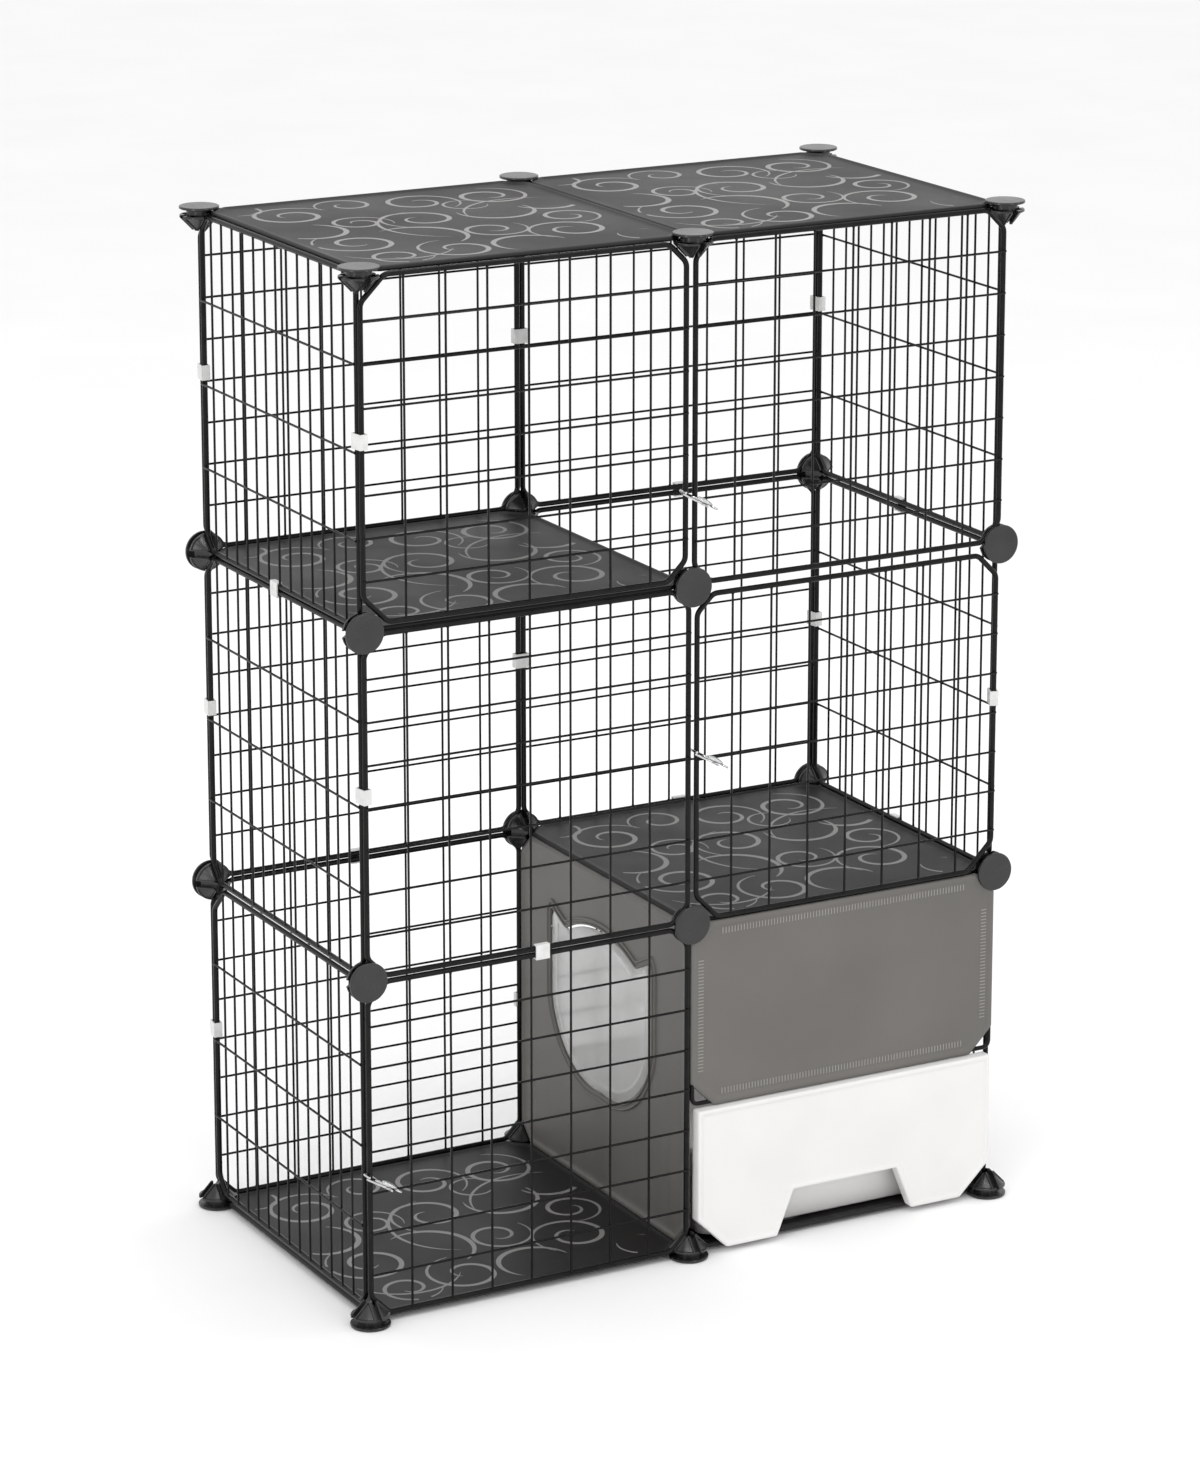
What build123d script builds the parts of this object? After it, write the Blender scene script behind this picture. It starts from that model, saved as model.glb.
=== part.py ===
from build123d import *
import math
import os

os.makedirs("parts", exist_ok=True)

# A modular wire cage for a cat: two bays wide, one deep and three storeys high.
# The origin is on the floor under the middle of the cage, +X to the right, -Y to the front.
# Every panel is drawn flat on the joint plane that it fills, from the joints between the connectors.

# Lattice of joint planes
bay_width = 356.0
cage_depth = 356.0
storey_height = 345.0

# Wires of the panels
frame_radius = 3.0
frame_sides = 8
thin_radius = 1.25
thin_sides = 4
front_column_count = 8
front_row_count = 8
side_column_count = 14
side_row_count = 4
weld_lap = 0.5

# Places of the frames beside the joint planes
pair_gap = 0.2
nest_gap = 0.15
outer_post_inset = 0.9
fixed_corner_sum = 23.2

# Connectors
disc_radius = 20.0
disc_thickness = 2.7
disc_sides = 12
flange_radius = 19.5
flange_thickness = 2.3
cone_tip_radius = 5.5
cone_height = 13.2
cone_sides = 8
hub_radius = 13.0
ring_clearance = 0.1
slot_clearance = 0.2
slot_core_sum = 16.6
cut_over = 1.0

# Doors: how far their frames stand in from the joint planes
door_top_latch_inset = 7.2
door_top_top_inset = 4.4
door_top_bottom_inset = 7.6
door_mid_hinge_inset = 2.5
door_mid_latch_inset = 6.4
door_mid_top_inset = 10.0
door_mid_bottom_inset = 3.5
door_low_latch_inset = 9.5
door_low_top_inset = 4.5
door_low_bottom_inset = 12.0
disc_swing_sum = 34.5
cone_swing_sum = 30.5
front_door_pitch = 44.0

# Sheets
sheet_thickness = 1.6
litter_sheet_height = 190.0
litter_sheet_corner = 25.0
litter_frame_corner = 4.0

# Cat flap in the partition
head_half_width = 111.0
head_side_top = 276.0
head_side_bottom = 184.0
head_shift = 3.5
ear_tip_out = 105.0
ear_tip_height = 285.0
ear_dip_out = 74.5
ear_dip_height = 270.0
crown_height = 289.0
chin_height = 104.0
cheek_out = 82.0
cheek_height = 130.0
trim_width = 8.0
trim_thickness = 6.0
trim_groove_clearance = 0.05
flap_thickness = 2.0
flap_gap = 1.5
flap_axis_height = 258.0
flap_pin_radius = 1.5
flap_pin_length = 4.5
flap_pin_clearance = 0.05

# Litter drawer
drawer_side_gap = 5.0
drawer_front_height = 150.0
drawer_front_depth = 12.2
drawer_front_wall = 2.5
drawer_corner_across = 34.0
drawer_corner_up = 33.0
handle_bottom_width = 160.0
handle_top_width = 122.0
handle_height = 47.0
rail_clearance = 0.3
tray_side_gap = 12.0
tray_height = 95.0
tray_draft = 10.0
tray_wall = 2.2
tray_rim = 4.0
tray_corner_cut = 15.0
tray_back_gap = 8.0
tray_rib_thickness = 3.0
tray_rib_inset = 55.0

# Clips that hold two wires side by side
clip_length = 15.0
clip_wall = 1.3
clip_clearance = 0.1
clip_above_middle = 11.5
clip_below_middle = 15.5
clip_beside_middle = 12.0
clip_beside_side_middle = 9.5

# Snap hooks of the doors
hook_thickness = 2.4
hook_band = 2.0
hook_inner_half = 4.4
hook_back_reach = 3.3
hook_front_reach = 6.9
hook_wire_clearance = 0.35
hook_body_length = 17.0
hook_body_depth = 6.7
hook_pin_radius = 1.0
hook_round_sides = 8
hook_pin_clearance = 0.06
hook_eye_radius = 4.5
hook_eye_hole = 2.6
gate_thickness = 1.6
gate_gap = 0.1
gate_width = 2.4
gate_boss_radius = 3.4
hook_tilt = 30.0
hook_low_tilt = 31.0
hook_top_height = 94.0
hook_mid_height = 176.0
hook_low_height = 146.0

# Sizes that follow from the ones above
frame_flat = frame_radius * math.cos(math.pi / frame_sides)
thin_flat = thin_radius * math.cos(math.pi / thin_sides)
pair_inset = frame_radius + pair_gap / 2
nest_distance = 2 * frame_radius + nest_gap
nest_inset = math.sqrt(nest_distance**2 - pair_inset**2)
side_inset = math.sqrt(nest_distance**2 - outer_post_inset**2)
outer_wire_offset = frame_flat + thin_flat
inner_wire_offset = frame_flat - thin_flat
ring_half = frame_radius + ring_clearance
slot_half = frame_radius + slot_clearance
foot_drop = ring_half + disc_thickness
cone_flat = math.cos(math.pi / cone_sides)

left_x = -bay_width
right_x = bay_width
front_y = -cage_depth / 2
back_y = cage_depth / 2


def level(storey):
    """Height of the joint plane under the given storey."""
    return foot_drop + storey * storey_height


def save(name, shape):
    """Write one sub-part as a STEP file."""
    export_step(shape, f"parts/{name}.step")


def prism(start, end, radius, sides, side_dir):
    """A straight wire with flats facing square to side_dir."""
    run = Vector(*end) - Vector(*start)
    section_plane = Plane(origin=start, x_dir=side_dir, z_dir=run)
    section = RegularPolygon(radius, sides, rotation=90 - 180 / sides)
    return extrude(section_plane * section, run.length)


def corner_outline(across, up, insets, sums):
    """Eight points of a frame's centre line, with a slanted run at each corner.

    across and up are the joint positions, insets are left, right, bottom, top,
    and sums are how far each slant lies from its joint: bottom left, bottom right,
    top right, top left.
    """
    inset_left, inset_right, inset_bottom, inset_top = insets
    sum_bl, sum_br, sum_tr, sum_tl = sums
    left = across[0] + inset_left
    right = across[1] - inset_right
    bottom = up[0] + inset_bottom
    top = up[1] - inset_top
    leg_bl = sum_bl - inset_left - inset_bottom
    leg_br = sum_br - inset_right - inset_bottom
    leg_tr = sum_tr - inset_right - inset_top
    leg_tl = sum_tl - inset_left - inset_top
    return [
        (left + leg_bl, bottom),
        (right - leg_br, bottom),
        (right, bottom + leg_br),
        (right, top - leg_tr),
        (right - leg_tr, top),
        (left + leg_tl, top),
        (left, top - leg_tl),
        (left, bottom + leg_bl),
    ]


def wire_loop(points):
    """The closed frame wire along a flat outline, started in the middle of its first side."""
    first, second = Vector(*points[0]), Vector(*points[1])
    start = (first + second) * 0.5
    path = Polyline(start, *points[1:], points[0], close=True)
    section_plane = Plane(origin=start, x_dir=(0, 0, 1), z_dir=second - first)
    section = RegularPolygon(frame_radius, frame_sides, rotation=180 / frame_sides)
    return sweep(section_plane * section, path=path, transition=Transition.RIGHT)


def limits(points):
    """Left, right, bottom and top of an outline."""
    across = [point[0] for point in points]
    up = [point[1] for point in points]
    return min(across), max(across), min(up), max(up)


def even_steps(start, end, cells):
    """Places of the inner wires that divide a span into equal cells."""
    return [start + (end - start) * step / cells for step in range(1, cells)]


def wire_grid(points, upright_places, level_places):
    """A panel of thin wires welded in a frame, flat on the XY plane with +Z outwards."""
    left, right, bottom, top = limits(points)
    pieces = list(wire_loop(points).solids())
    for place in upright_places:
        low_end = (place, bottom + frame_flat, inner_wire_offset)
        high_end = (place, top - frame_flat, inner_wire_offset)
        pieces += prism(low_end, high_end, thin_radius, thin_sides, (1, 0, 0)).solids()
    for place in level_places:
        left_end = (left + weld_lap, place, outer_wire_offset)
        right_end = (right - weld_lap, place, outer_wire_offset)
        pieces += prism(left_end, right_end, thin_radius, thin_sides, (0, 1, 0)).solids()
    return Compound(pieces)


def sheet_face(points):
    """The part of a sheet inside its frame wire, as a flat face."""
    outline = make_face(Polyline(*points, close=True))
    return offset(outline, amount=-frame_flat, kind=Kind.INTERSECTION)


def sheet_plate(face):
    """A plate of the sheets' thickness, centred on the joint plane."""
    return extrude(face, sheet_thickness / 2, both=True)


def sheet_panel(points):
    """A plastic sheet with the frame wire in its hem."""
    plate = sheet_plate(sheet_face(points))
    return Compound(list(wire_loop(points).solids()) + list(plate.solids()))


# Joint planes, each with local X across the panel, local Y up and local Z outwards
front_plane = Plane(origin=(0, front_y, 0), x_dir=(1, 0, 0), z_dir=(0, -1, 0))
back_plane = Plane(origin=(0, back_y, 0), x_dir=(-1, 0, 0), z_dir=(0, 1, 0))
left_plane = Plane(origin=(left_x, 0, 0), x_dir=(0, -1, 0), z_dir=(-1, 0, 0))
right_plane = Plane(origin=(right_x, 0, 0), x_dir=(0, 1, 0), z_dir=(1, 0, 0))
partition_plane = Plane(origin=(0, 0, 0), x_dir=(0, 1, 0), z_dir=(1, 0, 0))


def flat_plane(storey):
    """The horizontal joint plane under a storey."""
    return Plane(origin=(0, 0, level(storey)), x_dir=(1, 0, 0), z_dir=(0, 0, 1))


def storey_span(storey):
    """Joint heights under and over a storey."""
    return level(storey), level(storey + 1)


fixed_sums = (fixed_corner_sum,) * 4
left_bay = (left_x, 0)
right_bay = (0, right_x)
whole_depth = (front_y, back_y)

# Fixed grids on the front and the back: the mid post is at the cage's middle
left_of_middle = (outer_post_inset, pair_inset, pair_inset, pair_inset)
right_of_middle = (pair_inset, outer_post_inset, pair_inset, pair_inset)


def even_grid(points, cells_across, cells_up):
    """A wire grid with equal cells."""
    left, right, bottom, top = limits(points)
    uprights = even_steps(left, right, cells_across)
    levels = even_steps(bottom, top, cells_up)
    return wire_grid(points, uprights, levels)


def front_or_back_grid(across, insets, storey):
    """A fixed grid of the front or the back, in its plane's own directions."""
    points = corner_outline(across, storey_span(storey), insets, fixed_sums)
    return even_grid(points, front_column_count, front_row_count)


save("grid_front_low_left", front_plane * front_or_back_grid(left_bay, left_of_middle, 0))
save("grid_front_mid_left", front_plane * front_or_back_grid(left_bay, left_of_middle, 1))
save("grid_front_top_right", front_plane * front_or_back_grid(right_bay, right_of_middle, 2))

# The back plane's local X runs the other way, so its left bay is the cage's right one
for storey, storey_name in enumerate(("low", "mid", "top")):
    back_right = front_or_back_grid(left_bay, left_of_middle, storey)
    back_left = front_or_back_grid(right_bay, right_of_middle, storey)
    save(f"grid_back_{storey_name}_right", back_plane * back_right)
    save(f"grid_back_{storey_name}_left", back_plane * back_left)

# Fixed grids on the sides
side_insets = (side_inset, side_inset, pair_inset, pair_inset)


def side_grid(storey):
    """A fixed grid of a side."""
    points = corner_outline(whole_depth, storey_span(storey), side_insets, fixed_sums)
    return even_grid(points, side_column_count, side_row_count)


save("grid_left_mid", left_plane * side_grid(1))
save("grid_left_top", left_plane * side_grid(2))
save("grid_right_low", right_plane * side_grid(0))
save("grid_right_mid", right_plane * side_grid(1))
save("grid_right_top", right_plane * side_grid(2))

# Door in the top left of the front, hinged on its left post
door_top_insets = (outer_post_inset, door_top_latch_inset, door_top_bottom_inset, door_top_top_inset)
door_top_sums = (disc_swing_sum, disc_swing_sum, cone_swing_sum, cone_swing_sum)
door_top_points = corner_outline(left_bay, storey_span(2), door_top_insets, door_top_sums)
door_top_left, door_top_right, door_top_bottom, door_top_top = limits(door_top_points)
door_top_uprights = [door_top_left + front_door_pitch * step for step in range(1, front_column_count)]
door_top_levels = even_steps(door_top_bottom, door_top_top, front_row_count)
save("door_top", front_plane * wire_grid(door_top_points, door_top_uprights, door_top_levels))

# Door in the middle right of the front, hinged on its right post
door_mid_insets = (door_mid_latch_inset, door_mid_hinge_inset, door_mid_bottom_inset, door_mid_top_inset)
door_mid_sums = (disc_swing_sum,) * 4
door_mid_points = corner_outline(right_bay, storey_span(1), door_mid_insets, door_mid_sums)
door_mid_left, door_mid_right, door_mid_bottom, door_mid_top = limits(door_mid_points)
door_mid_uprights = [door_mid_right - front_door_pitch * step for step in range(1, front_column_count)]
door_mid_levels = even_steps(door_mid_bottom, door_mid_top, front_row_count)
save("door_mid", front_plane * wire_grid(door_mid_points, door_mid_uprights, door_mid_levels))

# Door low on the left side, hinged on its back post; local X of the left plane runs to the front
door_low_insets = (side_inset, door_low_latch_inset, door_low_bottom_inset, door_low_top_inset)
door_low_sums = (disc_swing_sum, cone_swing_sum, cone_swing_sum, disc_swing_sum)
door_low_points = corner_outline(whole_depth, storey_span(0), door_low_insets, door_low_sums)
door_low_grid = even_grid(door_low_points, side_column_count, side_row_count)
save("door_low", left_plane * door_low_grid)

# Horizontal sheets: roof, shelves and floor
flat_left_insets = (nest_inset, pair_inset, nest_inset, nest_inset)
flat_right_insets = (pair_inset, nest_inset, nest_inset, nest_inset)
flat_left_points = corner_outline(left_bay, whole_depth, flat_left_insets, fixed_sums)
flat_right_points = corner_outline(right_bay, whole_depth, flat_right_insets, fixed_sums)
save("sheet_floor_left", flat_plane(0) * sheet_panel(flat_left_points))
save("sheet_floor_right", flat_plane(0) * sheet_panel(flat_right_points))
save("sheet_shelf_right", flat_plane(1) * sheet_panel(flat_right_points))
save("sheet_shelf_left", flat_plane(2) * sheet_panel(flat_left_points))
save("sheet_roof_left", flat_plane(3) * sheet_panel(flat_left_points))
save("sheet_roof_right", flat_plane(3) * sheet_panel(flat_right_points))


# Low front sheet over the drawer: its wire goes into the corners where the sheet is cut off
def litter_sheet():
    """The half-height sheet over the drawer."""
    top = level(1)
    bottom = top - litter_sheet_height - 2 * frame_radius
    low_sum = pair_inset + litter_frame_corner
    low_sum_outer = outer_post_inset + litter_frame_corner
    bottom_inset = pair_inset + frame_radius
    insets = (pair_inset, outer_post_inset, bottom_inset, pair_inset)
    sums = (
        low_sum + bottom_inset,
        low_sum_outer + bottom_inset,
        fixed_corner_sum,
        fixed_corner_sum,
    )
    points = corner_outline(right_bay, (bottom, top), insets, sums)
    left, right, low, high = limits(points)
    plate = sheet_plate(sheet_face(points))
    corner = litter_sheet_corner
    left_cut = make_face(Polyline((left, low), (left + corner, low), (left, low + corner), close=True))
    right_cut = make_face(Polyline((right, low), (right - corner, low), (right, low + corner), close=True))
    plate -= extrude(left_cut, frame_radius, both=True)
    plate -= extrude(right_cut, frame_radius, both=True)
    return Compound(list(wire_loop(points).solids()) + list(plate.solids()))


save("sheet_litter_front", front_plane * litter_sheet())


# Partition with the cat's head cut-out
def head_face(grow):
    """The outline of the cut-out on the middle of its trim, grown or shrunk."""
    base = level(0)
    ear_tip = (ear_tip_out, base + ear_tip_height)
    ear_dip = (ear_dip_out, base + ear_dip_height)
    side_top = (head_half_width, base + head_side_top)
    side_bottom = (head_half_width, base + head_side_bottom)
    cheek = (cheek_out, base + cheek_height)
    chin = (0, base + chin_height)
    crown = (0, base + crown_height)

    def mirrored(point):
        return (-point[0], point[1])

    lines = Polyline(ear_dip, ear_tip, side_top, side_bottom)
    lines += ThreePointArc(side_bottom, cheek, chin)
    lines += ThreePointArc(chin, mirrored(cheek), mirrored(side_bottom))
    lines += Polyline(mirrored(side_bottom), mirrored(side_top), mirrored(ear_tip), mirrored(ear_dip))
    lines += ThreePointArc(mirrored(ear_dip), crown, ear_dip)
    face = Pos(head_shift, 0) * make_face(lines)
    if grow == 0:
        return face
    return offset(face, amount=grow, kind=Kind.TANGENT)


partition_points = corner_outline(whole_depth, storey_span(0), (nest_inset,) * 4, fixed_sums)
partition_plate = sheet_plate(sheet_face(partition_points)) - sheet_plate(head_face(0))
partition = Compound(list(wire_loop(partition_points).solids()) + list(partition_plate.solids()))
save("sheet_partition", partition_plane * partition)

# Trim round the cut-out, grooved over the sheet's edge and bored for the flap's pins
trim_blank = head_face(trim_width / 2) - head_face(-trim_width / 2)
groove_face = head_face(trim_width) - head_face(-trim_groove_clearance)
groove_half = sheet_thickness / 2 + trim_groove_clearance
flap_axis_z = level(0) + flap_axis_height
flap_half_width = head_half_width - trim_width / 2 - flap_gap
pin_end = flap_half_width + flap_pin_length
pin_bore = Cylinder(
    flap_pin_radius + flap_pin_clearance, 2 * (pin_end + flap_pin_clearance), rotation=(0, 90, 0)
)
trim = extrude(trim_blank, trim_thickness / 2, both=True)
trim -= extrude(groove_face, groove_half, both=True)
trim -= Pos(head_shift, flap_axis_z) * pin_bore
save("flap_trim", partition_plane * trim)

# Flap with a pin on each side
flap_plate = extrude(head_face(-trim_width / 2 - flap_gap), flap_thickness / 2, both=True)
flap_pin = Cylinder(flap_pin_radius, 2 * flap_pin_length, rotation=(0, 90, 0))
flap = flap_plate
flap += Pos(head_shift + flap_half_width, flap_axis_z) * flap_pin
flap += Pos(head_shift - flap_half_width, flap_axis_z) * flap_pin
save("cat_flap", partition_plane * flap)

# Drawer front: a shallow shell, open at the back, with a cut-out for the hand
drawer_left = drawer_side_gap
drawer_right = right_x - drawer_side_gap
drawer_bottom = level(0)
drawer_top = level(0) + drawer_front_height
drawer_middle = (drawer_left + drawer_right) / 2
rail_front_y = front_y + nest_inset - frame_radius
shell_back_y = rail_front_y - 2 * rail_clearance
shell_front_y = shell_back_y - drawer_front_depth
shell_plane = Plane(origin=(0, shell_back_y, 0), x_dir=(1, 0, 0), z_dir=(0, -1, 0))


def drawer_outline(shrink):
    """The drawer front's outline, or the same shape inside its walls."""
    outline = Polyline(
        (drawer_left + drawer_corner_across, drawer_bottom),
        (drawer_right - drawer_corner_across, drawer_bottom),
        (drawer_right, drawer_bottom + drawer_corner_up),
        (drawer_right, drawer_top),
        (drawer_left, drawer_top),
        (drawer_left, drawer_bottom + drawer_corner_up),
        close=True,
    )
    face = make_face(outline)
    if shrink == 0:
        return face
    return offset(face, amount=-shrink, kind=Kind.INTERSECTION)


handle_outline = Polyline(
    (drawer_middle - handle_bottom_width / 2, drawer_bottom),
    (drawer_middle + handle_bottom_width / 2, drawer_bottom),
    (drawer_middle + handle_top_width / 2, drawer_bottom + handle_height),
    (drawer_middle - handle_top_width / 2, drawer_bottom + handle_height),
    close=True,
)
shell = extrude(drawer_outline(0), drawer_front_depth)
shell -= extrude(drawer_outline(drawer_front_wall), drawer_front_depth - drawer_front_wall)
shell -= extrude(make_face(handle_outline), drawer_front_depth)

# Tray behind it, standing on the rails of the floor sheet
tray_left = tray_side_gap
tray_right = right_x - tray_side_gap
tray_front = shell_back_y + 2 * rail_clearance + frame_radius
tray_back = back_y - frame_radius - tray_back_gap
tray_bottom = level(0) + frame_radius + rail_clearance
tray_width = tray_right - tray_left
tray_length = tray_back - tray_front
tray_middle = ((tray_left + tray_right) / 2, (tray_front + tray_back) / 2)


def tray_corners(inset, height):
    """The eight corners of the tray's outline at a height, as far in from the rim as given."""
    middle_x, middle_y = tray_middle
    half_x = tray_width / 2 - inset
    half_y = tray_length / 2 - inset
    cut = tray_corner_cut - inset * (2 - math.sqrt(2))
    corners = [
        (half_x, cut - half_y),
        (half_x, half_y - cut),
        (half_x - cut, half_y),
        (cut - half_x, half_y),
        (-half_x, half_y - cut),
        (-half_x, cut - half_y),
        (cut - half_x, -half_y),
        (half_x - cut, -half_y),
    ]
    return [(middle_x + across, middle_y + along, height) for across, along in corners]


def flat_face(corners):
    """A face between corners that lie in one plane."""
    return Face(Wire.make_polygon(corners, close=True))


def tray_body(inset, lift):
    """A tapered tub: the tray's outside, or its inside with the wall taken off."""
    draft = tray_draft * (tray_height - lift) / tray_height
    low = tray_corners(inset + draft, tray_bottom + lift)
    high = tray_corners(inset, tray_bottom + tray_height)
    faces = [flat_face(low), flat_face(high)]
    for i in range(len(low)):
        faces.append(flat_face([low[i - 1], low[i], high[i], high[i - 1]]))
    return Solid(Shell(faces))


tray = tray_body(tray_rim, 0) - tray_body(tray_rim + tray_wall, tray_wall)
rim_height = tray_bottom + tray_height - tray_wall
rim = flat_face(tray_corners(0, rim_height)) - flat_face(tray_corners(tray_rim + tray_wall, rim_height))
tray += extrude(rim, tray_wall, dir=(0, 0, 1))
save("drawer_tray", tray)

# Two ribs in the shell meet the tray's rim
rib_depth = tray_front - shell_front_y - drawer_front_wall
rib_low = drawer_bottom + drawer_corner_up
rib_height = rim_height + tray_wall - rib_low
for rib_x in (drawer_left + tray_rib_inset, drawer_right - tray_rib_inset):
    rib_middle = (rib_x, tray_front - rib_depth / 2, rib_low + rib_height / 2)
    shell_rib = shell_plane.location.inverse() * (Pos(*rib_middle) * Box(tray_rib_thickness, rib_depth, rib_height))
    shell += shell_rib
save("drawer_front", shell_plane * shell)


# Connector: a disc, a ring gap for the panels that lie in its plane, and a slotted cone
def connector():
    """One connector with its joint at the origin and its disc towards +Z."""
    disc = Pos(0, 0, ring_half) * extrude(RegularPolygon(disc_radius, disc_sides), disc_thickness)
    hub = Pos(0, 0, -ring_half) * extrude(RegularPolygon(hub_radius, cone_sides), 2 * ring_half)
    flange_low = -ring_half - flange_thickness
    tip = flange_low - cone_height
    past_tip = tip - cut_over
    past_disc = disc_radius + cut_over
    lower = Pos(0, 0, tip) * extrude(RegularPolygon(flange_radius, cone_sides), -ring_half - tip)
    slope_outline = Polyline(
        (flange_radius * cone_flat, flange_low),
        (past_disc, flange_low),
        (past_disc, tip),
        (cone_tip_radius * cone_flat, tip),
        close=True,
    )
    slope = extrude(Plane.XZ * make_face(slope_outline), disc_radius, both=True)
    for turn in range(cone_sides):
        lower -= Rot(0, 0, (turn + 0.5) * 360 / cone_sides) * slope
    slot_outline = Polyline(
        (slot_core_sum - ring_half, -ring_half),
        (past_disc, -ring_half),
        (past_disc, past_tip),
        (0, past_tip),
        (0, -slot_core_sum),
        close=True,
    )
    slot = extrude(Plane.XZ * make_face(slot_outline), slot_half, both=True)
    for turn in range(4):
        lower -= Rot(0, 0, 90 * turn) * slot
    return disc + hub + lower


connector_shape = connector()
columns = {
    "front_left": (left_x, front_y),
    "front_mid": (0, front_y),
    "front_right": (right_x, front_y),
    "back_left": (left_x, back_y),
    "back_mid": (0, back_y),
    "back_right": (right_x, back_y),
}
for column_name, (column_x, column_y) in columns.items():
    outward = -1 if column_y < 0 else 1
    disc_ways = ((0, 0, -1), (0, outward, 0), (0, outward, 0), (0, 0, 1))
    for storey, disc_way in enumerate(disc_ways):
        place = Plane(origin=(column_x, column_y, level(storey)), x_dir=(1, 0, 0), z_dir=disc_way)
        save(f"connector_{column_name}_{storey}", place * connector_shape)


# Clips round two neighbouring wires
def clip(first, second, along, open_side=None):
    """A band round the wires at first and second, which run along the given direction."""
    first = Vector(*first)
    second = Vector(*second)
    reach = (second - first).length / 2
    inner = frame_radius + clip_clearance
    outer = inner + clip_wall
    place = Plane(origin=(first + second) * 0.5, x_dir=second - first, z_dir=along)
    ring = Rectangle(2 * (reach + outer), 2 * outer) - Rectangle(2 * (reach + inner), 2 * inner)
    band = extrude(ring, clip_length / 2, both=True)
    if open_side:
        mouth_depth = outer - frame_radius / 2
        mouth_middle = open_side * (outer + frame_radius / 2) / 2
        band -= Pos(0, mouth_middle, 0) * Box(2 * (reach + outer), mouth_depth, clip_length)
    return place * band


front_left_pair = ((left_x + outer_post_inset, front_y), (left_x, front_y + side_inset))
door_mid_pair = ((right_x - door_mid_hinge_inset, front_y), (right_x, front_y + side_inset))
back_left_pair = ((left_x + outer_post_inset, back_y), (left_x, back_y - side_inset))
back_right_pair = ((right_x - outer_post_inset, back_y), (right_x, back_y - side_inset))
back_mid_pair = ((-pair_inset, back_y), (pair_inset, back_y))


def post_clip(pair, height, open_side=None):
    """A clip round two posts."""
    (first_x, first_y), (second_x, second_y) = pair
    return clip((first_x, first_y, height), (second_x, second_y, height), (0, 0, 1), open_side)


def rail_clip(x, y, joint_height, along, open_side):
    """A clip over two rails, open towards the inside of the cage."""
    low = (x, y, joint_height - pair_inset)
    high = (x, y, joint_height + pair_inset)
    return clip(low, high, along, open_side)


def middle_height(storey):
    """Height of the middle wire of a storey."""
    return (level(storey) + level(storey + 1)) / 2


front_pitch = (bay_width - outer_post_inset - pair_inset) / front_column_count
middle_upright = pair_inset + front_pitch * front_column_count / 2
rail_clip_x = middle_upright + clip_beside_middle
clips = [
    post_clip(front_left_pair, middle_height(2) + clip_above_middle),
    post_clip(front_left_pair, middle_height(1) + clip_above_middle),
    post_clip(door_mid_pair, middle_height(1) + clip_above_middle),
    post_clip(back_mid_pair, middle_height(2) + clip_above_middle),
    post_clip(back_mid_pair, middle_height(1) + clip_above_middle),
    post_clip(back_mid_pair, middle_height(0) - clip_below_middle, -1),
    post_clip(back_right_pair, middle_height(2) + clip_above_middle),
    post_clip(back_right_pair, middle_height(1) + clip_above_middle),
    post_clip(back_left_pair, middle_height(2) + clip_above_middle),
    post_clip(back_left_pair, middle_height(1) + clip_above_middle),
    post_clip(back_left_pair, middle_height(0) + clip_above_middle + frame_radius),
    rail_clip(-middle_upright + clip_beside_middle, front_y, level(1), (1, 0, 0), -1),
    rail_clip(-rail_clip_x, back_y, level(1), (1, 0, 0), 1),
    rail_clip(rail_clip_x, back_y, level(1), (1, 0, 0), 1),
    rail_clip(rail_clip_x, back_y, level(2), (1, 0, 0), 1),
    rail_clip(left_x, clip_beside_side_middle, level(2), (0, 1, 0), 1),
    rail_clip(right_x, clip_beside_side_middle, level(2), (0, 1, 0), -1),
    rail_clip(right_x, clip_beside_side_middle, level(1), (0, 1, 0), -1),
]
save("wire_clips", Compound([solid for band in clips for solid in band.solids()]))


# Snap hooks: drawn with the post at the origin, local X along the hook and local Y outwards
def hook_plane(post_x, storey, height, tilt):
    """The tilted plane of a hook on a front post, at a height over the storey's joint plane."""
    slope = math.radians(tilt)
    along = Vector(math.cos(slope), 0, -math.sin(slope))
    outwards = Vector(0, -1, 0)
    return Plane(origin=(post_x, front_y, level(storey) + height), x_dir=along, z_dir=along.cross(outwards))


hook_outer_half = hook_inner_half + hook_band
body_back = frame_flat + 2 * thin_flat + hook_wire_clearance
body_front = body_back + hook_body_depth
body_start = hook_outer_half + 2 * hook_band
body_end = body_start + hook_body_length
pivot = (body_start + hook_body_length / 2, body_back + hook_body_depth / 2)
corner_cut = hook_band / 2


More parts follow.
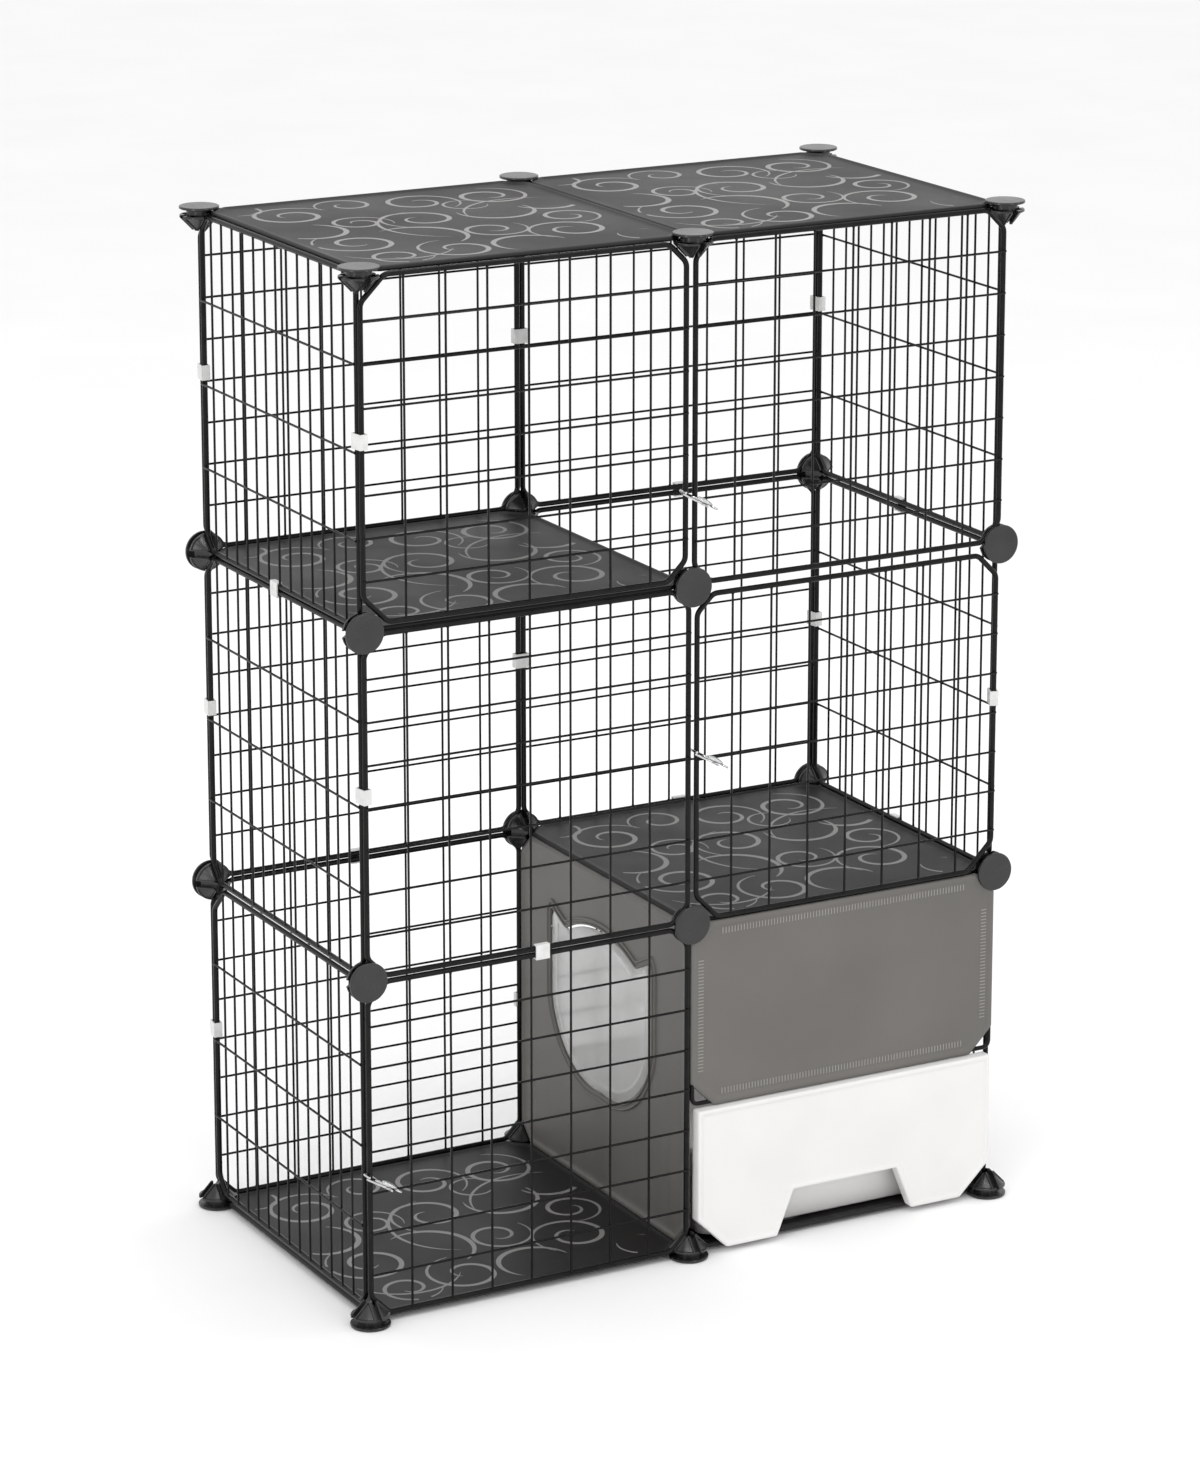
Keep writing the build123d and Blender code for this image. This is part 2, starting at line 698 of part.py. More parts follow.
def hook_body():
    """The hook's plate: crown, arms, body and eye, with the gate's pin."""
    plate_outline = Polyline(
        (-hook_outer_half, hook_front_reach + hook_band),
        (-hook_outer_half, -hook_back_reach - corner_cut),
        (-hook_outer_half + corner_cut, -hook_back_reach - hook_band),
        (hook_outer_half - corner_cut, -hook_back_reach - hook_band),
        (hook_outer_half, -hook_back_reach - corner_cut),
        (hook_outer_half, body_back),
        (body_end - corner_cut, body_back),
        (body_end, body_back + corner_cut),
        (body_end, body_front - corner_cut),
        (body_end - corner_cut, body_front),
        (body_start + corner_cut, body_front),
        (body_start, body_front - corner_cut),
        (body_start, body_back + hook_band),
        (hook_inner_half, body_back + hook_band),
        (hook_inner_half, -hook_back_reach + corner_cut),
        (hook_inner_half - corner_cut, -hook_back_reach),
        (-hook_inner_half + corner_cut, -hook_back_reach),
        (-hook_inner_half, -hook_back_reach + corner_cut),
        (-hook_inner_half, hook_front_reach + hook_band),
        close=True,
    )
    eye_place = Pos(body_end + hook_eye_hole, body_back + hook_eye_radius)
    face = make_face(plate_outline) + eye_place * RegularPolygon(hook_eye_radius, hook_round_sides)
    face -= eye_place * RegularPolygon(hook_eye_hole, hook_round_sides)
    plate = extrude(face, hook_thickness / 2, both=True)
    pin_height = hook_thickness / 2 + gate_gap + gate_thickness
    return plate + extrude(Pos(*pivot) * RegularPolygon(hook_pin_radius, hook_round_sides), pin_height)


def hook_gate():
    """The gate: a bar over the mouth, a boss on the pin and a thumb tab."""
    bar_back = hook_front_reach - gate_gap
    bar = Polyline(
        (-hook_outer_half, bar_back),
        (pivot[0], bar_back),
        (pivot[0], bar_back + gate_width),
        (-hook_outer_half, bar_back + gate_width),
        close=True,
    )
    tab = Polyline(
        (pivot[0], pivot[1]),
        (pivot[0] + gate_boss_radius, pivot[1]),
        (pivot[0] + gate_boss_radius, body_front + hook_band),
        (pivot[0] + gate_boss_radius - hook_band, body_front + hook_band),
        close=True,
    )
    face = make_face(bar) + make_face(tab) + Pos(*pivot) * RegularPolygon(gate_boss_radius, hook_round_sides)
    hole_flat = hook_pin_radius + hook_pin_clearance
    face -= Pos(*pivot) * RegularPolygon(hole_flat, hook_round_sides, major_radius=False)
    return extrude(Pos(0, 0, hook_thickness / 2 + gate_gap) * face, gate_thickness)


hook_top_plane = hook_plane(-door_top_latch_inset, 2, hook_top_height, hook_tilt)
hook_mid_plane = hook_plane(door_mid_latch_inset, 1, hook_mid_height, hook_tilt)
hook_low_plane = hook_plane(left_x + outer_post_inset, 0, hook_low_height, hook_low_tilt)
for hook_name, plane in (("top", hook_top_plane), ("mid", hook_mid_plane), ("low", hook_low_plane)):
    save(f"hook_{hook_name}_body", plane * hook_body())
    save(f"hook_{hook_name}_gate", plane * hook_gate())
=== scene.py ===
import math

import bmesh
import bpy
from mathutils import Matrix, Vector


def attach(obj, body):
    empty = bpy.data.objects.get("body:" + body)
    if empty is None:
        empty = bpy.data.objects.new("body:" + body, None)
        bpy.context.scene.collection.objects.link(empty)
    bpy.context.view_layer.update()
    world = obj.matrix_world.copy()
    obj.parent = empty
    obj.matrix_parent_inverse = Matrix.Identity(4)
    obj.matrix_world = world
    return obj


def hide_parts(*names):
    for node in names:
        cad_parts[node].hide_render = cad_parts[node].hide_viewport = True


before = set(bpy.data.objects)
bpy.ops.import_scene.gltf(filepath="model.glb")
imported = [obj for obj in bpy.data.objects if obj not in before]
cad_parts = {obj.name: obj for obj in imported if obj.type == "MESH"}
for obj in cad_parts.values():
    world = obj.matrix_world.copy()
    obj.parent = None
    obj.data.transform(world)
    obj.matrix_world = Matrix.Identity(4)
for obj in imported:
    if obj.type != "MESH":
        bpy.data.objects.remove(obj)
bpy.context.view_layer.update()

# All drawing sizes are in millimetres and become metres in place() and soften()
MM = 0.001

# Lattice of the cage, as in the CAD
BAY = 356.0
DEPTH = 356.0
STOREY = 345.0
FOOT = 5.8
PAIR = 3.1
NEST = 5.312
SIDE = 6.084
POST = 0.9
CORNER = 23.2

# Wires
FRAME_R = 2.76
HEM_WIRE_R = 2.3
THIN_R = 1.18
UPRIGHT_Z = 1.75
LEVEL_Z = 3.32
BEND = 5.0
FRAME_SIDES = 16
THIN_SIDES = 10
WIRE_END = 1
UPRIGHT_WELD_IN = 2.4
LEVEL_WELD_IN = 0.6
LEVEL_WELD_DROP = 0.9
# Reach of the weld beads across, along and out of the panel
UPRIGHT_WELD = (1.7, 1.5, 1.3)
LEVEL_WELD = (1.7, 1.9, 1.5)
CROSS_WELD = (1.45, 1.45, 0.9)


def level(storey):
    """Height of the joint plane under a storey."""
    return FOOT + storey * STOREY


def plane(origin, across, up, out):
    """The matrix of a drawing plane."""
    rows = [[across[i], up[i], out[i], origin[i]] for i in range(3)]
    return Matrix(rows + [[0, 0, 0, 1]])


FRONT = plane((0, -DEPTH / 2, 0), (1, 0, 0), (0, 0, 1), (0, -1, 0))
BACK = plane((0, DEPTH / 2, 0), (-1, 0, 0), (0, 0, 1), (0, 1, 0))
LEFT = plane((-BAY, 0, 0), (0, -1, 0), (0, 0, 1), (-1, 0, 0))
RIGHT = plane((BAY, 0, 0), (0, 1, 0), (0, 0, 1), (1, 0, 0))
PARTITION = plane((0, 0, 0), (0, 1, 0), (0, 0, 1), (1, 0, 0))
WORLD = Matrix.Identity(4)


def flat(storey):
    """The drawing plane of a horizontal sheet."""
    return plane((0, 0, level(storey)), (1, 0, 0), (0, 1, 0), (0, 0, 1))


# Materials

# The part of the noise that the ramps use, and the depth of the grain in metres
NOISE_LOW, NOISE_HIGH = 0.3, 0.7
GRAIN_DEPTH = 0.0002


def shader(name):
    """A new node material and its main shader."""
    material = bpy.data.materials.new(name)
    material.use_nodes = True
    nodes = material.node_tree.nodes
    return material, nodes, material.node_tree.links, nodes["Principled BSDF"]


def noise(nodes, links, scale, detail):
    """Noise in the object's own coordinates."""
    coords = nodes.new("ShaderNodeTexCoord")
    texture = nodes.new("ShaderNodeTexNoise")
    texture.inputs["Scale"].default_value = scale
    texture.inputs["Detail"].default_value = detail
    links.new(coords.outputs["Object"], texture.inputs["Vector"])
    return texture


def ramp(nodes, links, source, low, high):
    """Map the noise's middle part onto the span from low to high."""
    spread = nodes.new("ShaderNodeMapRange")
    spread.inputs["From Min"].default_value = NOISE_LOW
    spread.inputs["From Max"].default_value = NOISE_HIGH
    spread.inputs["To Min"].default_value = low
    spread.inputs["To Max"].default_value = high
    links.new(source, spread.inputs["Value"])
    return spread.outputs["Result"]


def tint(nodes, links, source, dark, light):
    """Mix two colours by the noise."""
    colours = nodes.new("ShaderNodeValToRGB")
    colours.color_ramp.elements[0].position = NOISE_LOW
    colours.color_ramp.elements[0].color = (*dark, 1)
    colours.color_ramp.elements[1].position = NOISE_HIGH
    colours.color_ramp.elements[1].color = (*light, 1)
    links.new(source, colours.inputs["Fac"])
    return colours.outputs["Color"]


def surface(name, dark, light, rough, spots, grain, bump, gloss):
    """A paint or plastic with slow colour drift, uneven gloss and a fine grain."""
    material, nodes, links, main = shader(name)
    drift = noise(nodes, links, spots, 4)
    links.new(tint(nodes, links, drift.outputs["Fac"], dark, light), main.inputs["Base Color"])
    links.new(ramp(nodes, links, drift.outputs["Fac"], *rough), main.inputs["Roughness"])
    fine = noise(nodes, links, grain, 3)
    relief = nodes.new("ShaderNodeBump")
    relief.inputs["Strength"].default_value = bump
    relief.inputs["Distance"].default_value = GRAIN_DEPTH
    links.new(fine.outputs["Fac"], relief.inputs["Height"])
    links.new(relief.outputs["Normal"], main.inputs["Normal"])
    main.inputs["Specular IOR Level"].default_value = gloss
    return material


WIRE = surface("wire paint", (0.004, 0.004, 0.0038), (0.009, 0.0085, 0.008), (0.14, 0.22), 60, 900, 0.12, 0.16)
BLACK = surface("connector plastic", (0.012, 0.012, 0.0115), (0.021, 0.0205, 0.02), (0.2, 0.3), 40, 1500, 0.12, 0.5)
SHEET = surface("dark sheet", (0.0105, 0.0102, 0.0098), (0.0155, 0.0152, 0.0147), (0.4, 0.54), 9, 2200, 0.35, 0.24)
PRINT = surface("printed curls", (0.192, 0.190, 0.184), (0.240, 0.237, 0.229), (0.36, 0.5), 30, 2200, 0.3, 0.4)
DRAWER = surface("white plastic", (0.73, 0.725, 0.715), (0.765, 0.76, 0.75), (0.3, 0.42), 14, 1800, 0.12, 0.5)
CLIP = surface("clip plastic", (0.6, 0.6, 0.59), (0.7, 0.7, 0.69), (0.22, 0.34), 80, 2000, 0.1, 0.5)
GREY = surface("grey sheet", (0.108, 0.102, 0.094), (0.132, 0.125, 0.116), (0.4, 0.55), 7, 2200, 0.35, 0.5)
WELD = surface("weld marks", (0.22, 0.212, 0.2), (0.26, 0.252, 0.24), (0.35, 0.5), 60, 2000, 0.2, 0.5)


def clear_flap():
    """The milky flap."""
    material, nodes, links, main = shader("milky flap")
    cloud = noise(nodes, links, 22, 4)
    links.new(ramp(nodes, links, cloud.outputs["Fac"], 0.1, 0.16), main.inputs["Roughness"])
    milk = tint(nodes, links, cloud.outputs["Fac"], (0.62, 0.62, 0.61), (0.68, 0.68, 0.67))
    links.new(milk, main.inputs["Base Color"])
    main.inputs["Transmission Weight"].default_value = 0.5
    main.inputs["IOR"].default_value = 1.35
    return material


def chrome():
    """Bright plated metal with faint wear."""
    material, nodes, links, main = shader("hook chrome")
    cloud = noise(nodes, links, 180, 5)
    plate = tint(nodes, links, cloud.outputs["Fac"], (0.5, 0.505, 0.51), (0.64, 0.645, 0.65))
    links.new(plate, main.inputs["Base Color"])
    links.new(ramp(nodes, links, cloud.outputs["Fac"], 0.08, 0.2), main.inputs["Roughness"])
    main.inputs["Metallic"].default_value = 1.0
    return material


FLAP = clear_flap()
CHROME = chrome()


# Mesh helpers


class Shape:
    """Vertices and faces of one piece while it is drawn."""

    def __init__(self):
        self.verts = []
        self.faces = []

    def ring(self, points):
        """Add points and return their numbers."""
        first = len(self.verts)
        self.verts += [tuple(point) for point in points]
        return list(range(first, len(self.verts)))

    def bridge(self, lower, upper, closed=True):
        """Join two rows of equal length by four-sided faces."""
        count = len(lower)
        for i in range(count if closed else count - 1):
            k = (i + 1) % count
            self.faces.append((lower[i], lower[k], upper[k], upper[i]))

    def cap(self, ring):
        """Close a ring by one face."""
        self.faces.append(tuple(ring))

    def box(self, low, high):
        """A block between two corners, for ribs and ticks."""
        (x0, y0, z0), (x1, y1, z1) = low, high
        base = self.ring([(x0, y0, z0), (x1, y0, z0), (x1, y1, z0), (x0, y1, z0)])
        top = self.ring([(x0, y0, z1), (x1, y0, z1), (x1, y1, z1), (x0, y1, z1)])
        self.bridge(base, top)
        self.cap(base)
        self.cap(top)

    def join(self, other, matrix):
        """Add another shape, moved by a matrix."""
        first = len(self.verts)
        self.verts += [tuple(matrix @ Vector(point)) for point in other.verts]
        self.faces += [tuple(first + index for index in face) for face in other.faces]


def place(name, shape, matrix, material, body, nodes, sharp=35):
    """Make an object of a shape, in its place, riding on its body."""
    data = bpy.data.meshes.new(name)
    data.from_pydata([matrix @ Vector(point) * MM for point in shape.verts], [], shape.faces)
    work = bmesh.new()
    work.from_mesh(data)
    bmesh.ops.recalc_face_normals(work, faces=work.faces)
    work.to_mesh(data)
    work.free()
    data.polygons.foreach_set("use_smooth", [True] * len(data.polygons))
    data.set_sharp_from_angle(angle=math.radians(sharp))
    data.materials.append(material)
    obj = bpy.data.objects.new(name, data)
    bpy.context.scene.collection.objects.link(obj)
    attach(obj, body)
    if nodes:
        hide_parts(*nodes)


def tube(shape, path, radius, sides, closed=False, height=0.0):
    """A round wire along a flat path at the given height over its plane."""
    count = len(path)
    rows = []
    for i in range(count):
        before = Vector(path[i - 1]) if closed or i > 0 else Vector(path[0])
        here = Vector(path[i])
        after = Vector(path[(i + 1) % count]) if closed or i < count - 1 else Vector(path[-1])
        run = (after - before).normalized()
        side = Vector((-run.y, run.x))
        points = []
        for k in range(sides):
            angle = 2 * math.pi * k / sides
            offset = side * radius * math.cos(angle)
            points.append((here.x + offset.x, here.y + offset.y, height + radius * math.sin(angle)))
        rows.append(shape.ring(points))
    for lower, upper in zip(rows, rows[1:]):
        shape.bridge(lower, upper)
    if closed:
        shape.bridge(rows[-1], rows[0])
    else:
        shape.cap(rows[0])
        shape.cap(rows[-1])


def lathe(shape, profile, sides):
    """A body of revolution about local Z."""
    rows = []
    for radius, height in profile:
        ring = []
        for k in range(sides):
            angle = 2 * math.pi * k / sides
            ring.append((radius * math.cos(angle), radius * math.sin(angle), height))
        rows.append(shape.ring(ring))
    for lower, upper in zip(rows, rows[1:]):
        shape.bridge(lower, upper)
    shape.cap(rows[0])
    shape.cap(rows[-1])


def rounded(points, bend, steps=5):
    """Round the corners of a closed outline."""
    result = []
    count = len(points)
    for i in range(count):
        before, here, after = Vector(points[i - 1]), Vector(points[i]), Vector(points[(i + 1) % count])
        cut_in = min(bend, 0.45 * (here - before).length)
        cut_out = min(bend, 0.45 * (after - here).length)
        start = here + (before - here).normalized() * cut_in
        end = here + (after - here).normalized() * cut_out
        for k in range(steps + 1):
            t = k / steps
            point = start * (1 - t) ** 2 + here * (2 * t * (1 - t)) + end * t**2
            result.append((point.x, point.y))
    return result


def grown(points, amount):
    """A closed counter-clockwise outline moved outwards, or inwards if negative."""
    result = []
    count = len(points)
    for i in range(count):
        into = (Vector(points[i]) - Vector(points[i - 1])).normalized()
        out = (Vector(points[(i + 1) % count]) - Vector(points[i])).normalized()
        middle = (into + out).normalized()
        stretch = max(0.5, middle.dot(into))
        result.append((points[i][0] + middle.y * amount / stretch, points[i][1] - middle.x * amount / stretch))
    return result


def corner_outline(across, up, insets, sums):
    """Eight points of a frame's centre line, as in the CAD."""
    left, right = across[0] + insets[0], across[1] - insets[1]
    bottom, top = up[0] + insets[2], up[1] - insets[3]
    leg_bl = sums[0] - insets[0] - insets[2]
    leg_br = sums[1] - insets[1] - insets[2]
    leg_tr = sums[2] - insets[1] - insets[3]
    leg_tl = sums[3] - insets[0] - insets[3]
    return [
        (left + leg_bl, bottom),
        (right - leg_br, bottom),
        (right, bottom + leg_br),
        (right, top - leg_tr),
        (right - leg_tr, top),
        (left + leg_tl, top),
        (left, top - leg_tl),
        (left, bottom + leg_bl),
    ]


def limits(points):
    """Left, right, bottom and top."""
    across = [point[0] for point in points]
    up = [point[1] for point in points]
    return min(across), max(across), min(up), max(up)


def steps_between(start, end, cells):
    """Places that divide a span into equal cells."""
    return [start + (end - start) * k / cells for k in range(1, cells)]


def nugget(shape, x, y, z, reach_x, reach_y, reach_z):
    """A small round bead of weld."""
    rows = []
    for tilt in (-50, 0, 50):
        up = math.sin(math.radians(tilt))
        ring = math.cos(math.radians(tilt))
        points = []
        for k in range(8):
            turn = 2 * math.pi * k / 8
            across = reach_x * ring * math.cos(turn)
            along = reach_y * ring * math.sin(turn)
            points.append((x + across, y + along, z + reach_z * up))
        rows.append(shape.ring(points))
    shape.bridge(rows[0], rows[1])
    shape.bridge(rows[1], rows[2])
    shape.cap(rows[0])
    shape.cap(rows[2])


def grid(points, uprights, levels, held_back=0):
    """A welded wire panel; held_back shortens its level wires on the left side."""
    left, right, bottom, top = limits(points)
    shape = Shape()
    tube(shape, rounded(points, BEND), FRAME_R, FRAME_SIDES, closed=True)
    for x in uprights:
        tube(shape, [(x, bottom + WIRE_END), (x, top - WIRE_END)], THIN_R, THIN_SIDES, height=UPRIGHT_Z)
        for y in (bottom + UPRIGHT_WELD_IN, top - UPRIGHT_WELD_IN):
            nugget(shape, x, y, UPRIGHT_Z, *UPRIGHT_WELD)
    for y in levels:
        ends = [(left - WIRE_END + held_back, y), (right + WIRE_END, y)]
        tube(shape, ends, THIN_R, THIN_SIDES, height=LEVEL_Z)
        for x in (left + LEVEL_WELD_IN + held_back, right - LEVEL_WELD_IN):
            nugget(shape, x, y, LEVEL_Z - LEVEL_WELD_DROP, *LEVEL_WELD)
    for x in uprights:
        for y in levels:
            nugget(shape, x, y, (UPRIGHT_Z + LEVEL_Z) / 2, *CROSS_WELD)
    return shape


FRONT_BAY = {"left": (-BAY, 0), "right": (0, BAY)}
WHOLE = (-DEPTH / 2, DEPTH / 2)
LEFT_INSETS = (POST, PAIR, PAIR, PAIR)
RIGHT_INSETS = (PAIR, POST, PAIR, PAIR)


def span(storey):
    """Joint heights under and over a storey."""
    return level(storey), level(storey + 1)


def panel(name, matrix, points, cells, body="cage", uprights=None, held_back=0):
    """Put one wire panel in place of its CAD node."""
    left, right, bottom, top = limits(points)
    places = uprights or steps_between(left, right, cells[0])
    shape = grid(points, places, steps_between(bottom, top, cells[1]), held_back)
    place(f"{name}_wires", shape, matrix, WIRE, body, (name,))


FIXED = (CORNER,) * 4
FRONT_CELLS = (8, 8)
SIDE_CELLS = (14, 4)
for name, side, storey in (
    ("grid_front_low_left", "left", 0),
    ("grid_front_mid_left", "left", 1),
    ("grid_front_top_right", "right", 2),
):
    insets = LEFT_INSETS if side == "left" else RIGHT_INSETS
    panel(name, FRONT, corner_outline(FRONT_BAY[side], span(storey), insets, FIXED), FRONT_CELLS)
for storey, storey_name in enumerate(("low", "mid", "top")):
    right_points = corner_outline(FRONT_BAY["left"], span(storey), LEFT_INSETS, FIXED)
    left_points = corner_outline(FRONT_BAY["right"], span(storey), RIGHT_INSETS, FIXED)
    panel(f"grid_back_{storey_name}_right", BACK, right_points, FRONT_CELLS)
    panel(f"grid_back_{storey_name}_left", BACK, left_points, FRONT_CELLS)
for name, matrix, storey in (
    ("grid_left_mid", LEFT, 1),
    ("grid_left_top", LEFT, 2),
    ("grid_right_low", RIGHT, 0),
    ("grid_right_mid", RIGHT, 1),
    ("grid_right_top", RIGHT, 2),
):
    panel(name, matrix, corner_outline(WHOLE, span(storey), (SIDE, SIDE, PAIR, PAIR), FIXED), SIDE_CELLS)

# Doors: insets left, right, low and high, and corner sums where a disc or a cone is passed
DOOR_TOP_INSETS = (POST, 7.2, 7.6, 4.4)
DOOR_MID_INSETS = (6.4, 2.5, 3.5, 10.0)
DOOR_LOW_INSETS = (SIDE, 9.5, 12.0, 4.5)
PAST_DISC = 34.5
PAST_CONE = 30.5
DOOR_PITCH = 44
HINGE_CLEARANCE = 1.6
DOOR_UPRIGHTS = range(1, FRONT_CELLS[0])

door_sums = (PAST_DISC, PAST_DISC, PAST_CONE, PAST_CONE)
door_points = corner_outline(FRONT_BAY["left"], span(2), DOOR_TOP_INSETS, door_sums)
door_left = limits(door_points)[0]
panel("door_top", FRONT, door_points, FRONT_CELLS, "door_top", [door_left + DOOR_PITCH * k for k in DOOR_UPRIGHTS])
door_points = corner_outline(FRONT_BAY["right"], span(1), DOOR_MID_INSETS, (PAST_DISC,) * 4)
door_right = limits(door_points)[1]
panel("door_mid", FRONT, door_points, FRONT_CELLS, "door_mid", [door_right - DOOR_PITCH * k for k in DOOR_UPRIGHTS])
door_sums = (PAST_DISC, PAST_CONE, PAST_CONE, PAST_DISC)
door_points = corner_outline(WHOLE, span(0), DOOR_LOW_INSETS, door_sums)
panel("door_low", LEFT, door_points, SIDE_CELLS, "door_low", held_back=HINGE_CLEARANCE)

# Sheets

SHEET_HALF = 0.8
HEM_BEND = 2.0
HEM_LEG = 19.0
# How far in from the wire and how high each line of a hem lies
HEM = (
    (-2.76, 0.0), (-2.3, 1.55), (-1.2, 2.45), (0.2, 2.74), (1.6, 2.35), (3.0, 1.55), (5.0, 1.0), (8.0, SHEET_HALF),
    (10.0, SHEET_HALF),
)
TALL_HEM = ((-4.3, 0.0), (-4.0, 1.2), (-2.4, 2.5)) + HEM[3:]
LOW_HEM = HEM[:3] + (
    (0.2, 2.82), (2.2, 2.86), (3.6, 2.3), (5.0, 1.5), (6.6, 0.95), (8.0, SHEET_HALF), (11.0, SHEET_HALF),
)


def hemmed(outline, hole=None, hem=HEM):
    """A sheet with a rounded hem round the wire, with an opening if asked."""
    shape = Shape()
    loops = []
    for side in (1, -1):
        rows = []
        for inwards, high in hem[1:] if side < 0 else hem:
            rows.append([(x, y, side * high) for x, y in rounded(grown(outline, -inwards), HEM_BEND, 3)])
        loops.append(rows)
    numbers = [[shape.ring(row) for row in rows] for rows in loops]
    for rows in numbers:
        for lower, upper in zip(rows, rows[1:]):
            shape.bridge(lower, upper)
    shape.bridge(numbers[0][0], numbers[1][0])
    for side, rows in zip((1, -1), numbers):
        if hole is None:
            shape.cap(rows[-1])
            continue
        edge = [shape.verts[index] for index in rows[-1]]
        fill(shape, edge, [(x, y, side * SHEET_HALF) for x, y in hole])
    return shape


def fill(shape, outer, inner):
    """Flat faces between an outline and a hole."""
    work = bmesh.new()
    edges = []
    for points in (outer, inner):
        corners = [work.verts.new(point) for point in points]
        edges += [work.edges.new((corners[i - 1], corners[i])) for i in range(len(corners))]
    bmesh.ops.triangle_fill(work, use_beauty=True, edges=edges)
    work.verts.index_update()
    first = len(shape.verts)
    shape.verts += [tuple(vert.co) for vert in work.verts]
    shape.faces += [tuple(first + vert.index for vert in face.verts) for face in work.faces]
    work.free()


def sheet(name, matrix, points, material, outline, hole=None, hem=HEM):
    """The frame wire and the hemmed sheet over it, in place of their CAD node."""
    wire = Shape()
    tube(wire, rounded(points, BEND), HEM_WIRE_R, 14, closed=True)
    place(f"{name}_wire", wire, matrix, WIRE, "cage", ())
    place(f"{name}_sheet", hemmed(outline, hole, hem), matrix, material, "cage", (name,))


def hem_outline(points, legs):
    """The sheet's outline: square sides with the corners cut back so that the wire shows."""
    left, right, bottom, top = limits(points)
    leg_bl, leg_br, leg_tr, leg_tl = legs
    return [
        (left + leg_bl, bottom),
        (right - leg_br, bottom),
        (right, bottom + leg_br),
        (right, top - leg_tr),
        (right - leg_tr, top),
        (left + leg_tl, top),
        (left, top - leg_tl),
        (left, bottom + leg_bl),
    ]


CURLS = (
    # across, up, radius, start angle, turns, width
    (-112, 104, 46, 20, 1.55, 5.6),
    (-40, 132, 34, 200, -1.3, 4.4),
    (30, 112, 44, 300, 1.5, 5.0),
    (108, 112, 44, 80, -1.6, 5.4),
    (140, 52, 34, 190, 0.55, 5.6),
    (-134, 20, 38, 60, -0.6, 5.8),
    (-70, 40, 34, 330, 1.6, 4.4),
    (-8, 30, 46, 240, -1.45, 5.2),
    (74, 36, 42, 20, -0.6, 5.6),
    (126, -22, 36, 250, 1.5, 4.6),
    (-118, -54, 46, 120, 1.55, 5.4),
    (-52, -48, 50, 300, 0.5, 6.0),
    (28, -50, 38, 30, -1.5, 4.6),
    (96, -86, 46, 220, -1.5, 5.4),
    (-112, -130, 34, 340, -1.4, 4.4),
    (-44, -122, 44, 90, 1.4, 5.2),
    (28, -132, 40, 10, 0.6, 5.6),
    (-148, 152, 24, 230, 0.7, 3.6),
    (66, 78, 24, 45, 0.85, 3.2),
    (10, -6, 78, 100, 0.4, 3.6),
    (-96, -84, 66, 200, 0.35, 3.4),
    (110, 10, 80, 60, 0.33, 3.2),
    (146, -140, 26, 150, 0.8, 3.8),
)
PRINT_REACH = 160.0
PRINT_Z = 0.84
PRINT_STEP = 0.004
STEPS_A_TURN = 36


def curls(centre):
    """The printed scrolls as thin strokes that taper at both ends."""
    shape = Shape()
    for number, (x, y, radius, start, turns, width) in enumerate(CURLS):
        height = PRINT_Z + PRINT_STEP * number
        count = int(abs(turns) * STEPS_A_TURN) + 8
        closing = 0.8 if abs(turns) > 1 else 0.12
        rows = []
        for k in range(count + 1):
            t = k / count
            angle = math.radians(start) + 2 * math.pi * turns * t
            reach = radius * (1 - closing * t)
            half = width / 2 * math.sin(math.pi * min(1, t + 0.02)) ** 0.6
            middle_x, middle_y = x + reach * math.cos(angle), y + reach * math.sin(angle)
            inside = max(abs(middle_x), abs(middle_y)) < PRINT_REACH
            pair = []
            for far in (reach + half, reach - half):
                pair.append((centre[0] + x + far * math.cos(angle), centre[1] + y + far * math.sin(angle), height))
            rows.append(shape.ring(pair) if inside else None)
        for lower, upper in zip(rows, rows[1:]):
            if lower and upper:
                shape.faces.append((lower[0], lower[1], upper[1], upper[0]))
    return shape


FLAT_INSETS = {"left": (NEST, PAIR, NEST, NEST), "right": (PAIR, NEST, NEST, NEST)}
for name, side, storey in (
    ("sheet_floor_left", "left", 0),
    ("sheet_floor_right", "right", 0),
    ("sheet_shelf_right", "right", 1),
    ("sheet_shelf_left", "left", 2),
    ("sheet_roof_left", "left", 3),
    ("sheet_roof_right", "right", 3),
):
    points = corner_outline(FRONT_BAY[side], WHOLE, FLAT_INSETS[side], FIXED)
    sheet(name, flat(storey), points, SHEET, hem_outline(points, (HEM_LEG,) * 4))
    middle = (-BAY / 2 if side == "left" else BAY / 2, 0)
    place(f"{name}_print", curls(middle), flat(storey), PRINT, "cage", ())


# Weld ticks: how far from the corners they start, their foot and their top
TICK_START = 34
TICK_FOOT = 0.7
TICK_TOP = 1.15


def ticks(points, inwards, pitch, half, length):
    """Weld ticks square to each long side, a little in from the hem."""
    shape = Shape()
    left, right, bottom, top = limits(points)
    across = int((right - left - 2 * TICK_START) / pitch)
    up = int((top - bottom - 2 * TICK_START) / pitch)
    for k in range(across + 1):
        x = left + TICK_START + k * pitch
        for y in (bottom + inwards, top - inwards):
            shape.box((x - half, y - length / 2, TICK_FOOT), (x + half, y + length / 2, TICK_TOP))
    for k in range(up + 1):
        y = bottom + TICK_START + k * pitch
        for x in (left + inwards, right - inwards):
            shape.box((x - length / 2, y - half, TICK_FOOT), (x + length / 2, y + half, TICK_TOP))
    return shape


